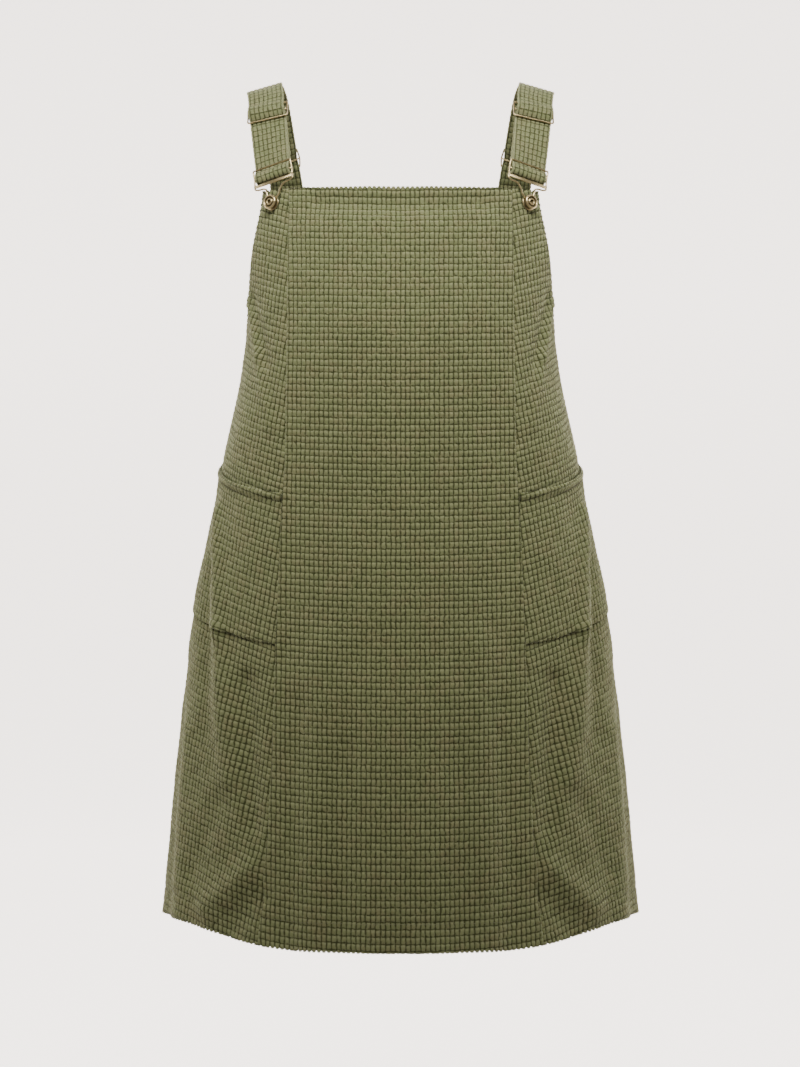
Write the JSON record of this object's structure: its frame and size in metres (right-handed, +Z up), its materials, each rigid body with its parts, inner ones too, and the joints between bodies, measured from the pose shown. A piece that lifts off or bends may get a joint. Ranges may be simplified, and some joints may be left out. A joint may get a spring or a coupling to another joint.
{
  "type": "pinafore dress",
  "caption": "Sleeveless A-line pinafore dress with a bib front, patch pockets and shoulder straps held by brass dungaree clips, kept in its worn shape.",
  "frame": {"origin": "midway between the undersides of the two shoulder straps at their highest point, where a wearer's shoulders hold the dress", "axes": "+Z up, front of the dress towards -Y, the wearer's left towards +X"},
  "size_m": [0.52, 0.383, 0.9178],
  "materials": {
    "waffle_cord": "olive green waffle-ribbed cord with a soft short nap",
    "antique_brass": "antique brass wire and plate, darkened in the recesses"
  },
  "bodies": {
    "root": {"centre_front": "waffle_cord", "side_front_left": "waffle_cord", "side_front_right": "waffle_cord", "back": "waffle_cord", "pocket_left": "waffle_cord", "pocket_right": "waffle_cord", "strap_left": "waffle_cord", "strap_right": "waffle_cord", "front_slider_left": "antique_brass", "front_slider_right": "antique_brass", "back_slider_left": "antique_brass", "back_slider_right": "antique_brass", "clip_left": "antique_brass", "clip_right": "antique_brass", "button_left": "antique_brass", "button_right": "antique_brass"}
  },
  "joints": []
}
